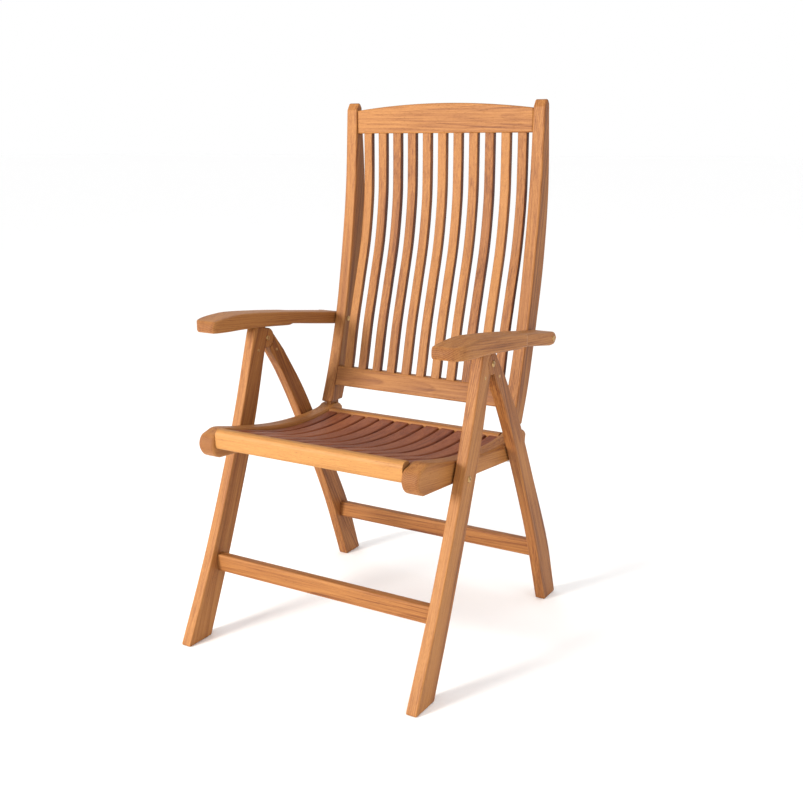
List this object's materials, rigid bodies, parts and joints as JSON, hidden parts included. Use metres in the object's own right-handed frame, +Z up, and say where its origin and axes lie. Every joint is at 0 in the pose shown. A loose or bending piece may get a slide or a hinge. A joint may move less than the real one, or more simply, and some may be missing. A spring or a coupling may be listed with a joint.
{
  "type": "folding armchair",
  "caption": "Folding slatted wooden armchair with a tall curved back that reclines in steps, lift-up arms with a notched underside, and scissor legs that close flat.",
  "frame": {"origin": "middle of the chair's footprint, on the floor", "axes": "+Z up, the chair faces -Y, +X towards the side seen on the right from the front"},
  "size_m": [0.604, 0.634, 1.0789],
  "materials": {
    "teak": "oiled satin",
    "teak_seat": "oiled satin",
    "brass": "satin",
    "steel": "satin"
  },
  "bodies": {
    "front_frame": {"front_leg_L": "teak", "front_leg_R": "teak", "front_stretcher": "teak", "leg_hinge_bolt_L": "brass", "leg_hinge_bolt_R": "brass", "front_head_pin_L": "brass", "front_head_pin_R": "brass", "seat_pivot_bolt_L": "brass", "seat_pivot_bolt_R": "brass", "seat_pivot_washer_L": "brass", "seat_pivot_washer_R": "brass"},
    "rear_frame": {"rear_leg_L": "teak", "rear_leg_R": "teak", "rear_stretcher": "teak", "rear_head_pin_L": "brass", "rear_head_pin_R": "brass", "seat_rest_pin_L": "steel", "seat_rest_pin_R": "steel"},
    "seat": {"seat_rail_L": "teak", "seat_rail_R": "teak", "seat_front_rail": "teak", "seat_rear_rail": "teak", "seat_slat_01": "teak_seat", "seat_slat_02": "teak_seat", "seat_slat_03": "teak_seat", "seat_slat_04": "teak_seat", "seat_slat_05": "teak_seat", "seat_slat_06": "teak_seat", "seat_slat_07": "teak_seat", "seat_slat_08": "teak_seat", "seat_slat_09": "teak_seat", "seat_slat_10": "teak_seat", "seat_slat_11": "teak_seat", "seat_slat_12": "teak_seat", "back_pivot_bolt_L": "brass", "back_pivot_bolt_R": "brass"},
    "back": {"back_stile_L": "teak", "back_stile_R": "teak", "back_bottom_rail": "teak", "back_crest": "teak", "back_slat_01": "teak", "back_slat_02": "teak", "back_slat_03": "teak", "back_slat_04": "teak", "back_slat_05": "teak", "back_slat_06": "teak", "back_slat_07": "teak", "back_slat_08": "teak", "back_slat_09": "teak", "back_slat_10": "teak", "back_slat_11": "teak", "arm_pivot_bolt_L": "brass", "arm_pivot_bolt_R": "brass", "arm_washer_L": "brass", "arm_washer_R": "brass"},
    "arm_L": {"arm_L": "teak"},
    "arm_R": {"arm_R": "teak"}
  },
  "joints": [
    {"name": "rear_legs_fold", "type": "hinge", "parent": "front_frame", "child": "rear_frame", "pos_m": [0, -0.0275, 0.5915], "axis": [-1, 0, 0], "range_deg": [0, 38]},
    {"name": "seat_fold", "type": "hinge", "parent": "front_frame", "child": "seat", "pos_m": [0, -0.1205, 0.391], "axis": [1, 0, 0], "range_deg": [0, 65]},
    {"name": "back_recline", "type": "hinge", "parent": "seat", "child": "back", "pos_m": [0, 0.1705, 0.385], "axis": [-1, 0, 0], "range_deg": [0, 100]},
    {"name": "arm_L_lift", "type": "hinge", "parent": "back", "child": "arm_L", "pos_m": [-0.2675, 0.2205, 0.601], "axis": [-1, 0, 0], "range_deg": [0, 88]},
    {"name": "arm_R_lift", "type": "hinge", "parent": "back", "child": "arm_R", "pos_m": [0.2675, 0.2205, 0.601], "axis": [-1, 0, 0], "range_deg": [0, 88]}
  ]
}
